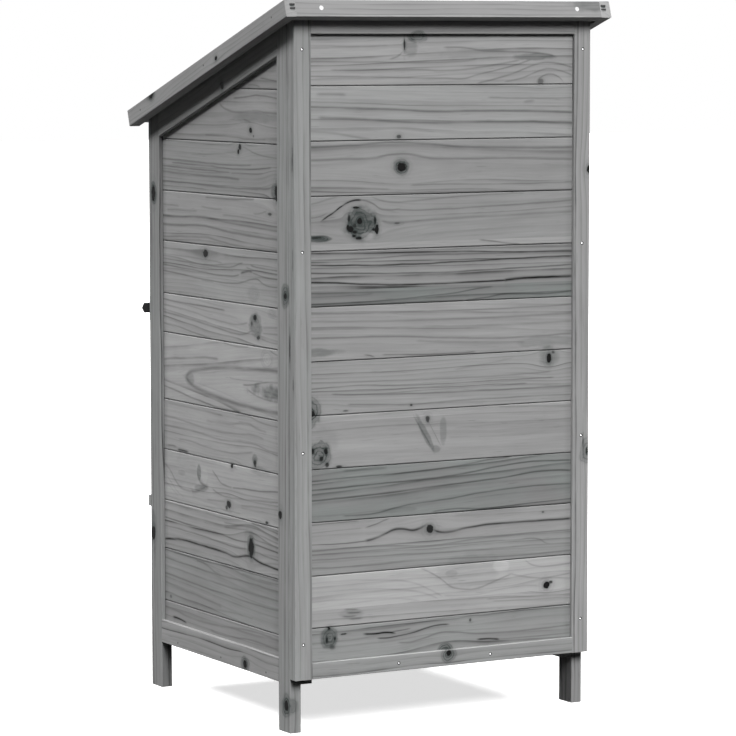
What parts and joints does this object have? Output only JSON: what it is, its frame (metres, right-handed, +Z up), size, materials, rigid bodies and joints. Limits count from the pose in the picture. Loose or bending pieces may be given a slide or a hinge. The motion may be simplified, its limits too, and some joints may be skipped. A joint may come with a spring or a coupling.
{
  "type": "garden shed",
  "caption": "Small upright garden tool shed in grey weathered timber: lean-to roof, framed boarded walls, short legs, hinged front door with turn latch and turn button, slatted shelves inside.",
  "frame": {"origin": "on the ground, below the middle of the roof, which is the part's widest outline", "axes": "+Z up; the door is at the front, -Y; +X is to the right of someone who faces the door"},
  "size_m": [0.582, 0.557, 1.126],
  "materials": {
    "weathered_boards": "grey weathered softwood boards with knots, matte",
    "weathered_frame": "grey weathered softwood frame timber, matte",
    "inner_wood": "greyed softwood that is sheltered from the weather, matte",
    "roofing_felt": "dark mineral roofing felt, matte and grainy",
    "black_metal": "black satin paint",
    "zinc_plated_steel": "bright zinc-plated steel",
    "dull_steel": "dull darkened steel"
  },
  "bodies": {
    "shed": {"back_boards": "weathered_boards", "back_bottom_rail": "weathered_frame", "back_fascia": "weathered_frame", "back_left_stile": "weathered_frame", "back_panel_screws": "zinc_plated_steel", "back_right_stile": "weathered_frame", "back_top_rail": "weathered_frame", "bottom_rail_nails": "dull_steel", "button_pivot_screw": "black_metal", "door_stop": "weathered_frame", "fascia_nails": "dull_steel", "fascia_screws": "zinc_plated_steel", "fascia_staples": "dull_steel", "floor_boards": "inner_wood", "floor_left_bearer": "inner_wood", "floor_right_bearer": "inner_wood", "front_bottom_rail": "weathered_frame", "front_fascia": "weathered_frame", "front_left_post": "weathered_frame", "front_right_post": "weathered_frame", "front_roof_batten": "inner_wood", "front_top_rail": "weathered_frame", "hinge_post_screws": "black_metal", "latch_pivot_screw": "black_metal", "latch_plate": "black_metal", "latch_plate_screws": "black_metal", "left_boards": "weathered_boards", "left_bottom_rail": "weathered_frame", "left_fascia": "weathered_frame", "left_top_rail": "weathered_frame", "lower_hinge_pin": "zinc_plated_steel", "lower_hinge_post_leaf": "black_metal", "lower_shelf": "inner_wood", "lower_shelf_left_cleat": "inner_wood", "lower_shelf_right_cleat": "inner_wood", "rear_left_post": "weathered_frame", "rear_right_post": "weathered_frame", "rear_roof_batten": "inner_wood", "right_boards": "weathered_boards", "right_bottom_rail": "weathered_frame", "right_fascia": "weathered_frame", "right_top_rail": "weathered_frame", "roof_deck": "inner_wood", "roof_felt": "roofing_felt", "upper_hinge_pin": "zinc_plated_steel", "upper_hinge_post_leaf": "black_metal", "upper_shelf": "inner_wood", "upper_shelf_left_cleat": "inner_wood", "upper_shelf_right_cleat": "inner_wood"},
    "door": {"door_hinge_stile": "weathered_frame", "door_latch_stile": "weathered_frame", "door_bottom_rail": "weathered_frame", "door_top_rail": "weathered_frame", "door_boards": "weathered_boards", "door_knob": "black_metal", "upper_hinge_door_leaf": "black_metal", "lower_hinge_door_leaf": "black_metal", "hinge_door_screws": "black_metal"},
    "latch": {"latch_arm": "black_metal"},
    "button": {"turn_button": "weathered_frame"}
  },
  "joints": [
    {"name": "door_hinge", "type": "hinge", "parent": "shed", "child": "door", "pos_m": [-0.246, -0.2543, 0.506], "axis": [0, 0, -1], "range_deg": [0, 165]},
    {"name": "latch_turn", "type": "hinge", "parent": "shed", "child": "latch", "pos_m": [0.257, -0.2548, 0.627], "axis": [0, -1, 0], "range_deg": [0, 180]},
    {"name": "button_turn", "type": "hinge", "parent": "shed", "child": "button", "pos_m": [0.2525, -0.2559, 0.307], "axis": [0, -1, 0], "range_deg": [0, 180]}
  ]
}
